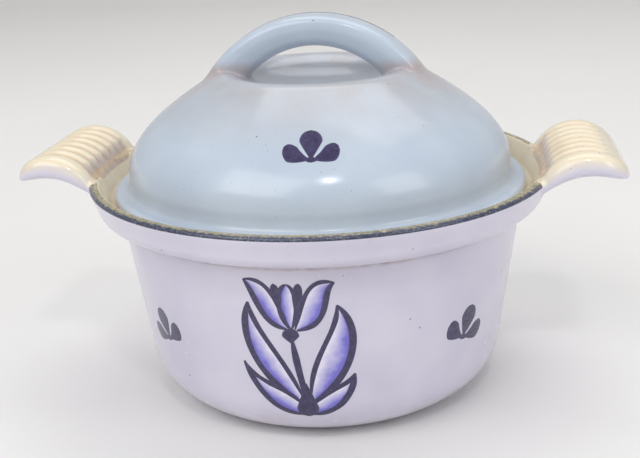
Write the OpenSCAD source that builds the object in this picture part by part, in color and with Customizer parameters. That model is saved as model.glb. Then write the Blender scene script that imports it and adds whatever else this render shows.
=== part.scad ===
// Covered casserole: a round enamelled cast-iron pot with two fluted lugs,
// and a domed lid with a bridge handle over a finger well.
// Origin at the middle of the base, +Z up, lugs along X, painted flower towards -Y.

/* [Pot] */
// Outside diameter of the rim
rim_d = 208; // [190:1:230]
// Height of the rim above the table
pot_h = 101; // [90:1:125]
// Outside diameter of the wall just under the collar
wall_top_d = 182; // [170:1:184]
// Outside diameter the wall would have at the table without its rounded edge
wall_foot_d = 158; // [140:1:168]
// Radius of the rounded edge between wall and base
base_round = 24; // [16:1:30]
// Thickness of the wall, enamel included
wall_t = 4; // [3.2:0.1:5]
// Thickness of the floor, enamel included
floor_t = 4.2; // [3.6:0.1:6]

/* [Collar] */
// Height of the collar around the mouth
collar_h = 15; // [13:0.5:18]
// Width of the flat top of the rim, from corner round to corner round
rim_flat = 1.6; // [1:0.1:3]
// Corner round on both edges of the rim
rim_round = 1.6; // [1:0.1:2]
// Depth of the lid's seat below the rim
seat_drop = 9; // [8:0.1:10]
// Inside diameter of the mouth under the seat
mouth_d = 175; // [168:1:176]
// How far the collar's face leans out between its foot and the rim
collar_lean = 2.5; // [1:0.1:4]

/* [Foot ring] */
// Outside diameter of the bare iron foot ring
foot_d = 112; // [96:1:118]
// Width of the foot ring
foot_w = 10; // [6:1:14]
// Height of the foot ring below the enamelled base
foot_h = 0.8; // [0.6:0.1:1.5]

/* [Lugs] */
// Length over both lugs
lug_span = 271; // [250:1:290]
// Width of a lug
lug_w = 70; // [60:1:80]
// Height of a lug's crest above the rim
lug_rise = 12; // [9:0.5:14]
// Distance of the crest from the rim's outer edge
lug_reach = 13; // [11:0.5:16]
// Radius of the lug's curved top
lug_top_r = 21; // [19:0.5:24]
// Radius of the hollow under the lug
lug_under_r = 28; // [26:0.5:31]
// Thickness of the lug at its crest
lug_t = 10; // [8:0.5:11]
// Round on the lug's long upper edges
lug_edge_round = 4; // [2:0.5:4.5]
// Corner round of the lug's tip, seen from above
lug_tip_round = 16; // [10:1:20]
// Number of flutes on each lug
flute_n = 7; // [5:1:8]
// Distance from flute to flute
flute_pitch = 8; // [7:0.1:8]
// Radius of a flute's hollow
flute_r = 2.6; // [2:0.1:3]
// Depth of a flute at its middle
flute_depth = 1.3; // [0.8:0.1:1.6]

/* [Lid] */
// Side gap between the lid's edge and the collar at the seat
lid_gap = 1.5; // [1:0.1:2]
// Thickness of the lid's flange
flange_t = 4.6; // [4:0.1:5.5]
// Width of the flange outside the dome
flange_w = 6.8; // [4:0.1:8]
// Thickness of the lid's dome, enamel included
lid_t = 4; // [3.4:0.1:5]
// Height of the crown above the flange's top
crown_rise = 48.5; // [40:0.5:58]
// Radius at which the crown ring stands
crown_r = 41; // [38:1:44]
// Radius of the finger well's lip
well_r = 32; // [28:1:34]
// Depth of the finger well below the crown
well_depth = 11; // [8:0.5:13]

/* [Bridge handle] */
// Radius of the bridge's outer arc
bridge_r = 58.5; // [54:0.5:62]
// Radius of the finger hole's arc
hole_r = 39.5; // [36:0.5:42]
// Height of the bridge's top above the crown
bridge_rise = 23.5; // [20:0.5:28]
// Thickness of the bridge at its top
bridge_t = 13.5; // [11:0.5:15]
// Width of the bridge
bridge_w = 21; // [16:0.5:26]
// Round on the bridge's outer edges
bridge_round = 4.5; // [2:0.5:6]

/* [Enamel and paint] */
// Thickness of the fired enamel
coat = 0.4; // [0.3:0.05:0.6]
// Thickness of the painted marks on the enamel
paint = 0.1; // [0.08:0.01:0.15]
// Height of the flower's foot above the table
flower_z = 15; // [12:1:18]
// Size of the flower, 1 being 59 mm tall
flower_size = 1; // [0.8:0.05:1.05]
// Width of the flower's brush line
brush = 1.7; // [1:0.1:2]
// Turn of the flower from the middle between the lugs
flower_turn = -0.5; // [-5:0.5:5]
// Angle of the wall's left sprig from the middle between the lugs
left_sprig_turn = -44.5; // [-60:0.5:-35]
// Angle of the wall's right sprig from the middle between the lugs
right_sprig_turn = 50.5; // [35:0.5:60]
// Height of the small sprigs above the table
sprig_z = 38; // [34:1:46]
// Turn of the lid's sprig from the middle between the lugs
lid_sprig_turn = 5; // [-10:0.5:10]
// Width of the painted line along the bridge
bridge_line_w = 2.4; // [1.5:0.1:4]

/* [Hidden] */
$fn = 96;
far = 200;

// Points of an arc about c from angle a to angle b
function arc(c, r, a, b, n = 8) =
    [for (i = [0 : n]) let (t = a + (b - a) * i / n) c + r * [cos(t), sin(t)]];

// Points of a cubic curve from p to s, pulled towards q and r
function curve(p, q, r, s, n = 14) =
    [for (i = [0 : n]) let (t = i / n, u = 1 - t)
        u * u * u * p + 3 * u * u * t * q + 3 * u * t * t * r + t * t * t * s];

// Points of an arc from p to q that bows out by s to the left of the way there
function bow(p, q, s, n = 12) =
    let (half = norm(q - p) / 2, along = (q - p) / (2 * half), left = [-along[1], along[0]],
        r = (half * half + s * s) / (2 * abs(s)), span = asin(half / r))
    [for (i = [0 : n]) let (t = span * (2 * i / n - 1))
        (p + q) / 2 + r * sin(t) * along + sign(s) * (r * cos(t) - r + abs(s)) * left];

function reversed(path) = [for (i = [len(path) - 1 : -1 : 0]) path[i]];
function part_of(path, a, b) = [for (i = [a : b]) path[i]];
function unit(v) = v / norm(v);

// The path moved to its left by d; a point on the axis stays on it
function moved(path, d) = [for (i = [0 : len(path) - 1])
    let (before = unit(path[max(i, 1)] - path[max(i, 1) - 1]),
        after = unit(path[min(i, len(path) - 2) + 1] - path[min(i, len(path) - 2)]),
        middle = unit(before + after), step = d / (middle * after))
    [path[i][0] == 0 ? 0 : path[i][0] - step * middle[1], path[i][1] + step * middle[0]]];

// Pot: heights, and the radius of the leaning wall at a height
rim_r = rim_d / 2;
seat_z = pot_h - seat_drop;
collar_z = pot_h - collar_h;
wall_slope = (wall_top_d - wall_foot_d) / 2 / collar_z;
wall_lean = atan(wall_slope);
function wall_r(z) = wall_foot_d / 2 + wall_slope * z;
function inner_r(z) = wall_r(z) - wall_t / cos(wall_lean);

// Outside of the pot, from the foot ring up to the top of the rim
base_z = foot_h;
foot_r = foot_d / 2;
foot_step = 0.5;
base_run = tan((90 - wall_lean) / 2);
base_centre = [wall_r(base_z) - base_round * base_run, base_z + base_round];
groove_round = 2;
groove_z = collar_z - groove_round;
groove_centre = [wall_r(groove_z) + groove_round / cos(wall_lean), groove_z];
collar_round = 7;
collar_foot_r = rim_r - collar_lean;
collar_centre = [collar_foot_r - collar_round, collar_z + collar_round];
outside = concat(
    [[foot_r + foot_step, base_z]],
    arc(base_centre, base_round, -90, -wall_lean, 12),
    arc(groove_centre, groove_round, 180 - wall_lean, 90, 4),
    arc(collar_centre, collar_round, -90, -8, 8),
    arc([rim_r - rim_round, pot_h - rim_round], rim_round, -8, 90, 6));
// Where the wall ends and the groove under the collar begins
wall_end = 14;
line_start = len(outside) - 7;
line_end = len(outside);

// Inside of the pot, from the top of the rim down to the middle of the floor
rim_in_r = rim_r - 2 * rim_round - rim_flat;
seat_run = 4.7;
seat_r = rim_in_r - seat_run;
seat_round = 1.5;
mouth_r = mouth_d / 2;
floor_z = base_z + floor_t;
inner_round = base_round - wall_t;
floor_centre = [inner_r(floor_z) - inner_round * base_run, floor_z + inner_round];
inside = concat(
    arc([rim_in_r + rim_round, pot_h - rim_round], rim_round, 90, 160, 4),
    [[seat_r, seat_z]],
    arc([mouth_r + seat_round, seat_z - seat_round], seat_round, 90, 175, 4),
    [[inner_r(collar_z - 2), collar_z - 2]],
    arc(floor_centre, inner_round, -wall_lean, -90, 12),
    [[0, floor_z]]);

pot_skin = concat(outside, inside);
pot_core = moved(pot_skin, coat);
pot_last = len(pot_skin) - 1;

// Outside of the lid, from its edge to the middle of the finger well
flange_r = seat_r - lid_gap;
flange_top = seat_z + flange_t;
flange_half = flange_t / 2;
dome_r = flange_r - flange_w;
dome_fillet = 2.5;
dome_swell = 1.6;
crown_z = flange_top + crown_rise;
well_z = crown_z - well_depth;
dome = curve([dome_r - 0.2, flange_top + 4.5], [dome_r + dome_swell, flange_top + 21],
    [crown_r + 26, crown_z - 14], [crown_r + 4, crown_z - 1], 16);
lid_outside = concat(
    arc([flange_r - flange_half, seat_z + flange_half], flange_half, -5, 90, 6),
    arc([dome_r + dome_fillet, flange_top + dome_fillet], dome_fillet, 270, 184, 4),
    dome,
    curve([crown_r + 1.5, crown_z - 0.1], [crown_r, crown_z + 0.1], [crown_r - 2, crown_z],
        [crown_r - 4, crown_z - 0.7], 4),
    curve([well_r, crown_z - 3.2], [well_r - 5, well_z + 1.6], [well_r / 2, well_z],
        [0, well_z], 10));

// Underside of the lid, from the middle out to its edge
under_r = dome_r - lid_t;
lid_under = concat(
    curve([0, well_z - lid_t], [well_r / 2, well_z - lid_t], [well_r - 2, well_z - lid_t + 1],
        [crown_r - 4, crown_z - lid_t - 4], 8),
    curve([crown_r + 2, crown_z - lid_t - 1.6], [crown_r + 23, crown_z - lid_t - 13],
        [under_r + dome_swell, flange_top + 18], [under_r, flange_top], 16),
    arc([under_r + seat_round, seat_z + seat_round], seat_round, 180, 270, 4),
    arc([flange_r - flange_half, seat_z + flange_half], flange_half, 270, 340, 4));

lid_skin = concat(lid_under, lid_outside);
lid_core = moved(lid_skin, coat);
lid_top_start = len(lid_under);
lid_last = len(lid_skin) - 1;
// The dome's points within the lid's skin follow those of the rim edge and the fillet
dome_start = lid_top_start + 7 + 5;

// Circles of a lug, seen along Y, and the middle of its flutes
lug_x = rim_r + lug_reach;
lug_z = pot_h + lug_rise - lug_top_r;
lug_under_z = pot_h + lug_rise - lug_t - lug_under_r;
lug_tip_x = lug_span / 2;
lug_root_r = rim_in_r + 0.2;
flute_lean = 16;
flute_run = 38;
flute_drop = flute_depth / (1 - cos(flute_run));

// The small sprig: its height, its petals' round ends and their spread
sprig_h = 15;
sprig_petal_r = 4;
sprig_spread = 58;
sprig_foot_r = 1.8;
sprig_side_cut = 2.5;
sprig_reach = 5;
lid_sprig_at = 9;

// Circles of the bridge, seen along Y
bridge_z = crown_z + bridge_rise - bridge_r;
hole_z = crown_z + bridge_rise - bridge_t - hole_r;

module spin(path) {
    rotate_extrude() polygon(path);
}

module across(width) {
    rotate([90, 0, 0]) linear_extrude(width, center = true) children();
}

// Round cross-section of a curved bar: out to r, width across, outer corners rounded
module bar_section(r, width, corner) {
    translate([0, -width / 2]) square([r - corner, width]);
    translate([0, corner - width / 2]) square([r, width - 2 * corner]);
    for (side = [-1, 1])
        translate([r - corner, side * (width / 2 - corner)]) circle(corner);
}

// The layer between the skin and the core from point a to point b
module coat_strip(skin, core, a, b) {
    spin(concat(part_of(skin, a, b), reversed(part_of(core, a, b))));
}

// A thin layer on top of the skin from point a to point b
module paint_strip(skin, a, b) {
    coat_strip(moved(skin, -paint), skin, a, b);
}

// The lug on the +X side, made smaller by an inset on every face
module lug(inset) {
    tip = lug_tip_x - inset;
    difference() {
        intersection() {
            translate([lug_x, 0, lug_z]) rotate([90, 0, 0]) rotate_extrude()
                bar_section(lug_top_r - inset, lug_w - 2 * inset, lug_edge_round);
            translate([0, 0, collar_z + 5 + inset]) linear_extrude(far)
                bar_section(tip, lug_w - 2 * inset, lug_tip_round);
        }
        translate([lug_x + 2, 0, lug_under_z]) across(2 * lug_w) circle(lug_under_r + inset);
        cylinder(h = far, r = lug_root_r + inset);
        flutes(inset);
    }
}

// Hollows along the lug's top, which run out towards its root and its tip
module flutes(inset) {
    ring_r = lug_top_r + flute_r - flute_depth + flute_drop;
    for (i = [0 : flute_n - 1])
        translate([lug_x + flute_drop * sin(flute_lean), (i - (flute_n - 1) / 2) * flute_pitch,
                lug_z - flute_drop * cos(flute_lean)])
            rotate([90, 0, 0]) rotate_extrude() translate([ring_r, 0])
                circle(flute_r + inset, $fn = 32);
}

module both_lugs(inset) {
    for (turn = [0, 180]) rotate(turn) lug(inset);
}

// Slab between the lugs' side edges, where the rim carries no dark line
module lug_zone() {
    cube([2 * far, lug_w, 2 * far], center = true);
}

module pot_iron() {
    spin(concat([[0, base_z + coat], [foot_r - foot_w, base_z + coat], [foot_r - foot_w, 0],
        [foot_r, 0], [foot_r, base_z + coat]], pot_core));
    both_lugs(coat);
}

// The bridge, made smaller by an inset, and cut off inside the lid's wall
module bridge(inset) {
    difference() {
        translate([0, 0, bridge_z]) rotate([90, 0, 0]) rotate_extrude()
            bar_section(bridge_r - inset, bridge_w - 2 * inset, bridge_round);
        translate([0, 0, hole_z]) across(2 * bridge_w) circle(hole_r + inset);
        spin(concat(moved(part_of(lid_skin, lid_top_start, lid_last), lid_t / 2),
            [[0, seat_z - far], [far, seat_z - far], [far, seat_z]]));
    }
}

module lid_iron() {
    spin(lid_core);
    bridge(coat);
}

// A curved leaf from p to q that bows out to its left and its right side
module leaf(p, q, left, right, inset = 0) {
    way = unit(q - p);
    a = p + 3 * inset * way;
    b = q - 3 * inset * way;
    polygon(concat(bow(a, b, left - inset), bow(b, a, right - inset)));
}

// The flower's leaves and petals: foot, tip, bow to the left, bow to the right
flower_leaves = [
    [[-2.5, 8], [-22.5, 50], 9, 0.6],
    [[1.5, 8], [12, 48], 0.6, 11],
    [[-2, 3], [-24, 25], 6.5, 1],
    [[2, 3], [18.5, 19], 1.5, 6.5],
    [[-8, 39], [-24.5, 59], 2.5, 7.5],
    [[-4, 39], [11, 57], 8.5, 3],
    [[-6, 39], [-7, 58.5], 3.8, 3.8]];
// The narrow dark petals behind, and the stem, drawn the same way
flower_strokes = [
    [[-9, 45], [-12, 58], 1.8, 1.8],
    [[-3.5, 45], [-2.5, 58], 1.8, 1.8],
    [[-1, 8], [-6, 37], 1, 1]];
flower_calyx = [-6, 36];
calyx_r = 3.2;
flower_foot = [0, 6];
foot_blob_r = 5;

module flower_lines() {
    for (l = flower_leaves) difference() {
        leaf(l[0], l[1], l[2], l[3]);
        leaf(l[0], l[1], l[2], l[3], brush);
    }
    for (l = flower_strokes) leaf(l[0], l[1], l[2], l[3]);
    translate(flower_calyx) circle(calyx_r);
    translate(flower_foot) circle(foot_blob_r);
}

module flower_body() {
    difference() {
        for (l = flower_leaves) leaf(l[0], l[1], l[2], l[3], brush);
        flower_lines();
    }
}

// A petal with a round end, which comes to a point on the origin
module petal(length, r) {
    middle = length - r;
    touch = asin(r / middle);
    side = middle * cos(touch);
    translate([0, middle]) circle(r);
    polygon([[0, 0], side * [sin(touch), cos(touch)], side * [-sin(touch), cos(touch)]]);
}

// Three petals on one foot
module sprig() {
    petal(sprig_h, sprig_petal_r);
    for (side = [-1, 1]) rotate(side * sprig_spread) petal(sprig_h - sprig_side_cut, sprig_petal_r - 0.3);
    translate([0, 1]) circle(sprig_foot_r);
}

// Paints a flat drawing on the front of the pot's wall, turned by an angle
module paint_wall(turn, height, size = 1) {
    intersection() {
        paint_strip(pot_skin, 1, wall_end);
        rotate(turn) translate([0, 0, height]) rotate([90, 0, 0]) linear_extrude(far)
            scale([size, size]) children();
    }
}

module pot_casting() {
    color("dimgray") pot_iron();
}

module pot_enamel() {
    color("lavender") difference() {
        union() {
            coat_strip(pot_skin, pot_core, 0, line_start);
            translate([0, 0, base_z]) cylinder(h = coat, r = foot_r - foot_w);
        }
        both_lugs(0);
    }
}

module rim_line() {
    color("midnightblue") difference() {
        coat_strip(pot_skin, pot_core, line_start, line_end);
        lug_zone();
    }
}

module pot_lining() {
    color("cornsilk") difference() {
        union() {
            coat_strip(pot_skin, pot_core, line_end, pot_last);
            intersection() {
                coat_strip(pot_skin, pot_core, line_start, line_end);
                lug_zone();
            }
        }
        both_lugs(0);
    }
}

module lug_enamel(turn) {
    color("cornsilk") difference() {
        rotate(turn) lug(0);
        pot_iron();
    }
}

module left_lug_enamel() {
    lug_enamel(180);
}

module right_lug_enamel() {
    lug_enamel(0);
}

module flower_outline() {
    color("midnightblue") paint_wall(flower_turn, flower_z, flower_size) flower_lines();
}

module flower_fill() {
    color("mediumslateblue") paint_wall(flower_turn, flower_z, flower_size) flower_body();
}

module wall_sprigs() {
    color("midnightblue")
        for (turn = [left_sprig_turn, right_sprig_turn]) paint_wall(turn, sprig_z) sprig();
}

module lid_casting() {
    color("dimgray") lid_iron();
}

module lid_enamel() {
    color("lightsteelblue") difference() {
        union() {
            coat_strip(lid_skin, lid_core, lid_top_start, lid_last);
            bridge(0);
        }
        lid_iron();
    }
}

module lid_lining() {
    color("whitesmoke") coat_strip(lid_skin, lid_core, 0, lid_top_start);
}

module lid_sprig() {
    middle = dome[lid_sprig_at];
    slope = dome[lid_sprig_at + 1] - dome[lid_sprig_at - 1];
    color("midnightblue") intersection() {
        paint_strip(lid_skin, dome_start, dome_start + len(dome) - 1);
        rotate(lid_sprig_turn) translate([0, -middle[0], middle[1]])
            rotate([atan2(slope[1], -slope[0]), 0, 0])
                translate([0, -sprig_h / 2, -sprig_reach]) linear_extrude(2 * sprig_reach) sprig();
    }
}

module bridge_line() {
    line_y = bridge_w / 2 - bridge_round - bridge_line_w;
    color("midnightblue") intersection() {
        translate([0, line_y + bridge_line_w, bridge_z]) rotate([90, 0, 0]) difference() {
            cylinder(h = bridge_line_w, r = bridge_r + paint);
            translate([0, 0, -1]) cylinder(h = bridge_line_w + 2, r = bridge_r);
        }
        translate([-far, -far, crown_z + 6]) cube(2 * far);
    }
}

pot_casting();
pot_enamel();
pot_lining();
rim_line();
left_lug_enamel();
right_lug_enamel();
flower_outline();
flower_fill();
wall_sprigs();
lid_casting();
lid_enamel();
lid_lining();
lid_sprig();
bridge_line();
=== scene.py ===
# %% [markdown]
# # A covered casserole in enamelled cast iron
# The real thing is two rough iron castings, a pot with two fluted lugs and a lid with a bridge handle.
# Each is dipped in coloured glass, fired, painted by brush and fired again.
# This lesson builds the looks in that order: iron, coats of enamel, painted marks, then the finishes,
# all around a fixed frame that already holds the sizes and the way the lid lifts off.

# %% Load the frame and keep its box
import bpy
import numpy as np
from mathutils import Matrix, Vector


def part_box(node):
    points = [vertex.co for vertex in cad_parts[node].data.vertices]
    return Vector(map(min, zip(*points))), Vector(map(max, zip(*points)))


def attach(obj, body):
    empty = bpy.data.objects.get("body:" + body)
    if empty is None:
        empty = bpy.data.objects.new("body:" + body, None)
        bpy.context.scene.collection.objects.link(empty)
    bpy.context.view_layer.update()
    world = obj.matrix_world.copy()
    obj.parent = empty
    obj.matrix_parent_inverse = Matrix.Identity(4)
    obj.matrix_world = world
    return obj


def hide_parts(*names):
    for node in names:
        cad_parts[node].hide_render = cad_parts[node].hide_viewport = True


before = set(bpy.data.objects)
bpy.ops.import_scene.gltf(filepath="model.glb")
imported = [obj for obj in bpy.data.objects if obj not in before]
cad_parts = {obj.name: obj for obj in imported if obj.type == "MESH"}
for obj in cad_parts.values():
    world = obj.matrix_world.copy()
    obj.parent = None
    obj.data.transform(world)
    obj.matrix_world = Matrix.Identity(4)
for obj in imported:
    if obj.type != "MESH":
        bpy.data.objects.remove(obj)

bpy.context.view_layer.update()

# %% [markdown]
# The work is done in millimetres, as a pattern maker would, and turned into metres when a mesh is made.
# The leading sizes are read off the frame, so the looks follow it if the frame is made again.

# %% Leading sizes
MM = 0.001


def corners(node):
    low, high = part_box(node)
    return np.array(low) / MM, np.array(high) / MM


rim_r = corners("rim_line")[1][1]
pot_h = corners("rim_line")[1][2]
base_z = corners("pot_enamel")[0][2]
lug_high = corners("right_lug_enamel")[1]
lug_tip, lug_half, lug_crest = lug_high
seat_z = corners("lid_lining")[0][2]
flange_r = corners("lid_enamel")[1][1]
bridge_top = corners("lid_enamel")[1][2]
print(f"rim r {rim_r:.1f} at {pot_h:.1f}, lug tip {lug_tip:.1f}, seat {seat_z:.1f}, flange r {flange_r:.1f}")

# %% [markdown]
# A casting is turned on a lathe in the pattern maker's head: one profile swung round the axis.
# The profile could be a Blender curve with a Screw modifier.
# Here it is a list of points, because the same points also give the distance from any place to the skin,
# and that distance is what lets the lugs and the bridge melt into the castings with soft fillets.

# %% Profile helpers
def arc(centre, radius, start, end, steps):
    turn = np.radians(np.linspace(start, end, steps + 1))
    return np.stack([centre[0] + radius * np.cos(turn), centre[1] + radius * np.sin(turn)], 1)


def pulled(p, q, r, s, steps):
    t = np.linspace(0, 1, steps + 1)[:, None]
    u = 1 - t
    return u**3 * np.array(p) + 3 * u * u * t * np.array(q) + 3 * u * t * t * np.array(r) + t**3 * np.array(s)


def evenly(path, longest):
    """The path with its long straight runs cut into steps."""
    out = [path[:1]]
    for a, b in zip(path[:-1], path[1:]):
        n = max(1, int(np.ceil(np.hypot(*(b - a)) / longest)))
        out.append(a + (b - a) * (np.arange(1, n + 1) / n)[:, None])
    return np.vstack(out)


def outward(path):
    """The unit directions that point out of the metal, which lies on the left of the path."""
    run = np.diff(path, axis=0)
    side = np.stack([run[:, 1], -run[:, 0]], 1)
    side /= np.linalg.norm(side, axis=1)[:, None]
    at = np.vstack([side[:1], side[:-1] + side[1:], side[-1:]])
    return at / np.linalg.norm(at, axis=1)[:, None]


def along(path):
    return np.concatenate([[0], np.cumsum(np.linalg.norm(np.diff(path, axis=0), axis=1))])

# %% [markdown]
# The pot's profile runs from the foot up the leaning wall, round the collar and over the rim,
# then down past the lid's seat and the inside wall to the middle of the floor.

# %% The pot's profile
collar_h, collar_round, collar_lean = 15, 7, 2.5
wall_top_r, wall_foot_r, wall_t, floor_t = 91, 79, 4, 4.2
base_round, groove_round = 24, 2
rim_round, rim_flat, seat_run, seat_round, mouth_r = 1.6, 1.6, 4.7, 1.5, 87.5
foot_r, foot_w, foot_step = 56, 10, 0.5

collar_z = pot_h - collar_h
slope = (wall_top_r - wall_foot_r) / collar_z
lean = np.degrees(np.arctan(slope))


def wall_r(z):
    return wall_foot_r + slope * z


def inner_r(z):
    return wall_r(z) - wall_t / np.cos(np.radians(lean))


base_run = np.tan(np.radians((90 - lean) / 2))
groove_z = collar_z - groove_round
rim_in = rim_r - 2 * rim_round - rim_flat
floor_z = base_z + floor_t
inner_round = base_round - wall_t
pot_outside = np.vstack([
    [[foot_r + foot_step, base_z]],
    arc((wall_r(base_z) - base_round * base_run, base_z + base_round), base_round, -90, -lean, 24),
    arc((wall_r(groove_z) + groove_round / np.cos(np.radians(lean)), groove_z),
        groove_round, 180 - lean, 90, 8),
    arc((rim_r - collar_lean - collar_round, collar_z + collar_round), collar_round, -90, -8, 14),
    arc((rim_r - rim_round, pot_h - rim_round), rim_round, -8, 0, 1)])
pot_rim = arc((rim_r - rim_round, pot_h - rim_round), rim_round, 0, 90, 9)
pot_inside = np.vstack([
    arc((rim_in + rim_round, pot_h - rim_round), rim_round, 90, 160, 7),
    [[rim_in - seat_run, seat_z]],
    arc((mouth_r + seat_round, seat_z - seat_round), seat_round, 90, 175, 6),
    [[inner_r(collar_z - 2), collar_z - 2]],
    arc((inner_r(floor_z) - inner_round * base_run, floor_z + inner_round),
        inner_round, -lean, -90, 20),
    [[0, floor_z]]])
longest_run = 3
pot_path = evenly(np.vstack([pot_outside, pot_rim[1:], pot_inside]), longest_run)
pot_run = along(pot_path)


def run_at(path, run, point):
    """How far along the path its nearest corner to a point lies."""
    return run[np.argmin(np.linalg.norm(path - np.array(point), axis=1))]


line_from = run_at(pot_path, pot_run, pot_rim[0])
line_to = run_at(pot_path, pot_run, pot_inside[2])
print(f"pot profile: {len(pot_path)} points, {pot_run[-1]:.0f} mm long")
print(f"the rim's line is {line_to - line_from:.1f} mm wide")

# %% [markdown]
# The lid's profile goes out under the dome to the flange, and back over the top:
# a flat flange, a steep shoulder, the dome, a crown ring and the finger well in the middle.

# %% The lid's profile
flange_t, flange_w, lid_t = 4.6, 6.8, 4
crown_rise, crown_r, well_r, well_depth = 48.5, 41, 32, 11
dome_fillet, dome_swell = 2.5, 1.6
flange_top = seat_z + flange_t
flange_half = flange_t / 2
dome_r = flange_r - flange_w
under_r = dome_r - lid_t
crown_z = flange_top + crown_rise
well_z = crown_z - well_depth
lid_outside = evenly(np.vstack([
    arc((flange_r - flange_half, seat_z + flange_half), flange_half, 0, 90, 9),
    arc((dome_r + dome_fillet, flange_top + dome_fillet), dome_fillet, 270, 184, 8),
    pulled((dome_r - 0.2, flange_top + 4.5), (dome_r + dome_swell, flange_top + 21),
           (crown_r + 26, crown_z - 14), (crown_r + 4, crown_z - 1), 56),
    pulled((crown_r + 1.5, crown_z - 0.1), (crown_r, crown_z + 0.1),
           (crown_r - 2, crown_z), (crown_r - 4, crown_z - 0.7), 6),
    pulled((well_r, crown_z - 3.2), (well_r - 5, well_z + 1.6),
           (well_r / 2, well_z), (0, well_z), 24)]), longest_run)
lid_under = evenly(np.vstack([
    pulled((0, well_z - lid_t), (well_r / 2, well_z - lid_t),
           (well_r - 2, well_z - lid_t + 1), (crown_r - 4, crown_z - lid_t - 4), 16),
    pulled((crown_r + 2, crown_z - lid_t - 1.6), (crown_r + 23, crown_z - lid_t - 13),
           (under_r + dome_swell, flange_top + 18), (under_r, flange_top), 40),
    arc((under_r + seat_round, seat_z + seat_round), seat_round, 180, 270, 7),
    arc((flange_r - flange_half, seat_z + flange_half), flange_half, 270, 360, 9)]), longest_run)
print(f"lid profile: {len(lid_outside)} points over, {len(lid_under)} under, crown {crown_z:.1f}")

# %% [markdown]
# Next come distances to the skin. For any point, `turned_skin` gives how far it is outside the metal,
# the direction straight out, and how far along the profile the nearest place lies.
# The direction is blended between the profile's corners, so that glossy enamel shows no facets.

# %% Distance to a turned casting
def in_lots(work, points, lot=12000):
    """The same work done a lot at a time, so that it fits in memory."""
    done = (work(points[i:i + lot]) for i in range(0, len(points), lot))
    return [np.concatenate(part) for part in zip(*done)]


def turned_skin(path):
    out, run = outward(path), along(path)
    a, ab = path[:-1], np.diff(path, axis=0)
    length2 = (ab**2).sum(1)

    def work(points):
        r = np.hypot(points[:, 0], points[:, 1])
        at = np.stack([r, points[:, 2]], 1)
        ap = at[:, None] - a[None]
        t = np.clip((ap * ab).sum(2) / length2, 0, 1)
        near = ((ap - t[..., None] * ab)**2).sum(2)
        k = near.argmin(1)
        row = np.arange(len(k))
        tk = t[row, k]
        n = out[k] * (1 - tk)[:, None] + out[k + 1] * tk[:, None]
        n /= np.linalg.norm(n, axis=1)[:, None]
        gap = ap[row, k] - tk[:, None] * ab[k]
        d = np.sqrt(near[row, k]) * np.where((gap * n).sum(1) < 0, -1, 1)
        safe = np.maximum(r, 1e-9)
        normal = np.stack([n[:, 0] * points[:, 0] / safe,
                           n[:, 0] * points[:, 1] / safe, n[:, 1]], 1)
        return d, normal, run[k] + tk * np.sqrt(length2[k])

    return lambda points: in_lots(work, points)


def slope_of(distance, nudge=0.03):
    """Turns a plain distance rule into one that also gives the direction straight out."""
    def skin(points):
        grad = np.stack([distance(points + step) - distance(points - step)
                         for step in nudge * np.eye(3)], 1) / (2 * nudge)
        size = np.maximum(np.linalg.norm(grad, axis=1), 0.2)
        return distance(points) / size, grad / size[:, None]
    return skin


def melt(one, two, soft):
    """Two skins run together with a fillet about as wide as soft."""
    def skin(points):
        first, second = one(points), two(points)
        share = np.clip(0.5 + 0.5 * (second[0] - first[0]) / soft, 0, 1)
        d = second[0] + (first[0] - second[0]) * share - soft * share * (1 - share)
        n = second[1] + (first[1] - second[1]) * share[:, None]
        return d, n / np.maximum(np.linalg.norm(n, axis=1), 1e-9)[:, None]
    return skin


def meet(a, b, soft):
    """Where two surfaces cut each other, the edge rounded by soft."""
    share = np.clip(0.5 - 0.5 * (b - a) / soft, 0, 1)
    return b + (a - b) * share + soft * share * (1 - share)


pot_skin = turned_skin(pot_path)
lid_top_skin = turned_skin(lid_outside)
probe = np.array([[0.0, -wall_r(50) - 1, 50]])
print("one millimetre outside the wall measures", round(float(pot_skin(probe)[0][0]), 3))

# %% [markdown]
# Each lug is a short scoop of iron: a curved top, a curved hollow for the fingers below,
# and a fat rounded edge. Flutes on its top give grip through a cloth. They are narrow grooves
# with round ribs between them, and the ribs stand up out of a shallow valley next to the rim.
# A Boolean cut could make the grooves, but the fired glass rounds every edge, so they are a soft dent here.

# %% The lugs
top_r, hollow_r, crest_t, tip_round = 21, 28, 10, 16
upper_edge, lower_edge, tip_allowance = 6, 5, 2.3
lug_x = rim_r + 13
top_z = lug_crest - top_r
hollow_x, hollow_z = lug_x + 2, lug_crest - crest_t - hollow_r
rib_pitch, rib_rows, rib_rise = 8, 24, 2.0
rib_start, rib_stop = 99.5, 127
lug_soft = 2.2


def smooth(x, low, high):
    t = np.clip((x - low) / (high - low), 0, 1)
    return t * t * (3 - 2 * t)


def rib_dent(points):
    """How far the lug's top sinks below its plain curve because of the flutes."""
    x, y = np.abs(points[:, 0]), np.abs(points[:, 1])
    round_end = 1.6 * np.abs(np.cos(np.pi * y / rib_pitch))
    rib = np.abs(np.sin(np.pi * y / rib_pitch))**0.75
    rib = rib * smooth(x, rib_start + round_end, rib_start + round_end + 3)
    border = smooth(y, rib_rows + 0.5, rib_rows + 4)
    depth = rib_rise * (1 - smooth(x, rib_stop - 7, rib_stop))
    return depth * (1 - np.maximum(rib, border))


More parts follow.
